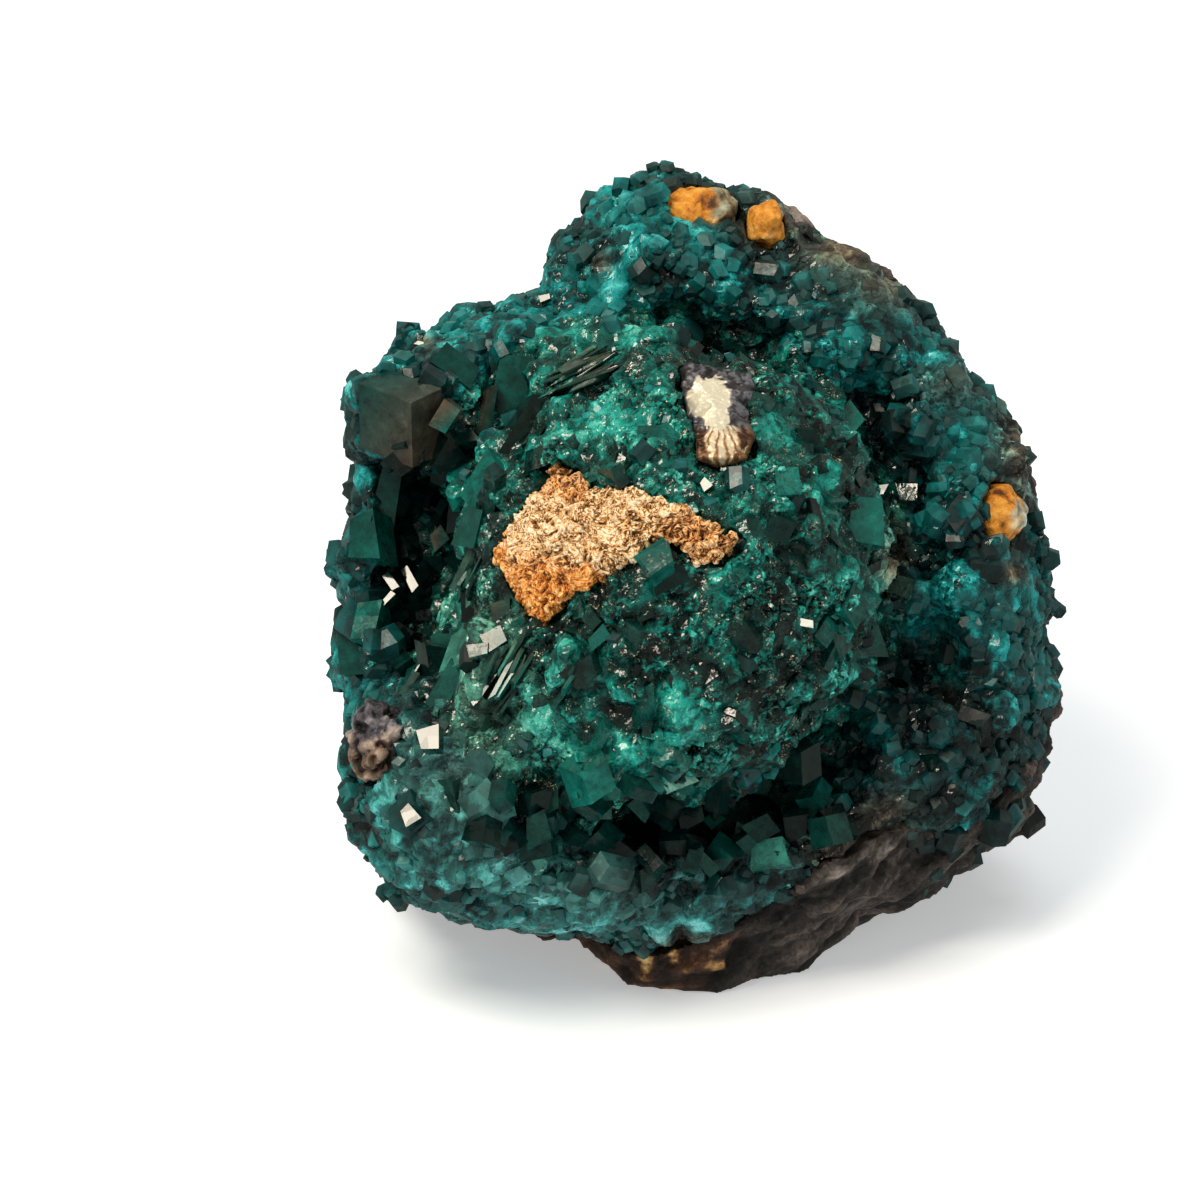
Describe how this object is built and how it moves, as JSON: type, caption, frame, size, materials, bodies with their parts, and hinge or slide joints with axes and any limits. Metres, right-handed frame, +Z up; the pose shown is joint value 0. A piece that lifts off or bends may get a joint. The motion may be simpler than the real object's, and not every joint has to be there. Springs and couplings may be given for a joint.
{
  "type": "dioptase mineral specimen",
  "caption": "Hand-sized mineral specimen: a rounded druse of deep green dioptase crystals on brown host rock, standing on the rock's flat broken foot.",
  "frame": {"origin": "middle of the bounding box, at the level of the foot that the specimen stands on", "axes": "+Z up, +Y away from the viewer of the crystal-covered front, +X to that viewer's right"},
  "size_m": [0.0548, 0.0582, 0.054],
  "materials": {
    "dioptase": "glassy deep bluish green crystals with flat faces, from nearly black in the hollows to bright teal on broken and fine-grained areas",
    "host_rock": "dull grey-brown rock with bedding ledges, rusty at the foot",
    "ochre": "crumpled crust, cream to gold with orange-brown veins, slightly shiny",
    "cleavage": "flat cleaved face, violet-grey with a bright pearly to metallic shine",
    "limonite": "dull earthy orange-brown"
  },
  "bodies": {
    "root": {"dioptase_druse": "dioptase", "host_rock": "host_rock", "ochre_crust": "ochre", "cleavage_plate": "cleavage", "limonite_crest": "limonite", "limonite_knob": "limonite", "limonite_spot": "limonite", "rock_patch": "host_rock"}
  },
  "joints": []
}
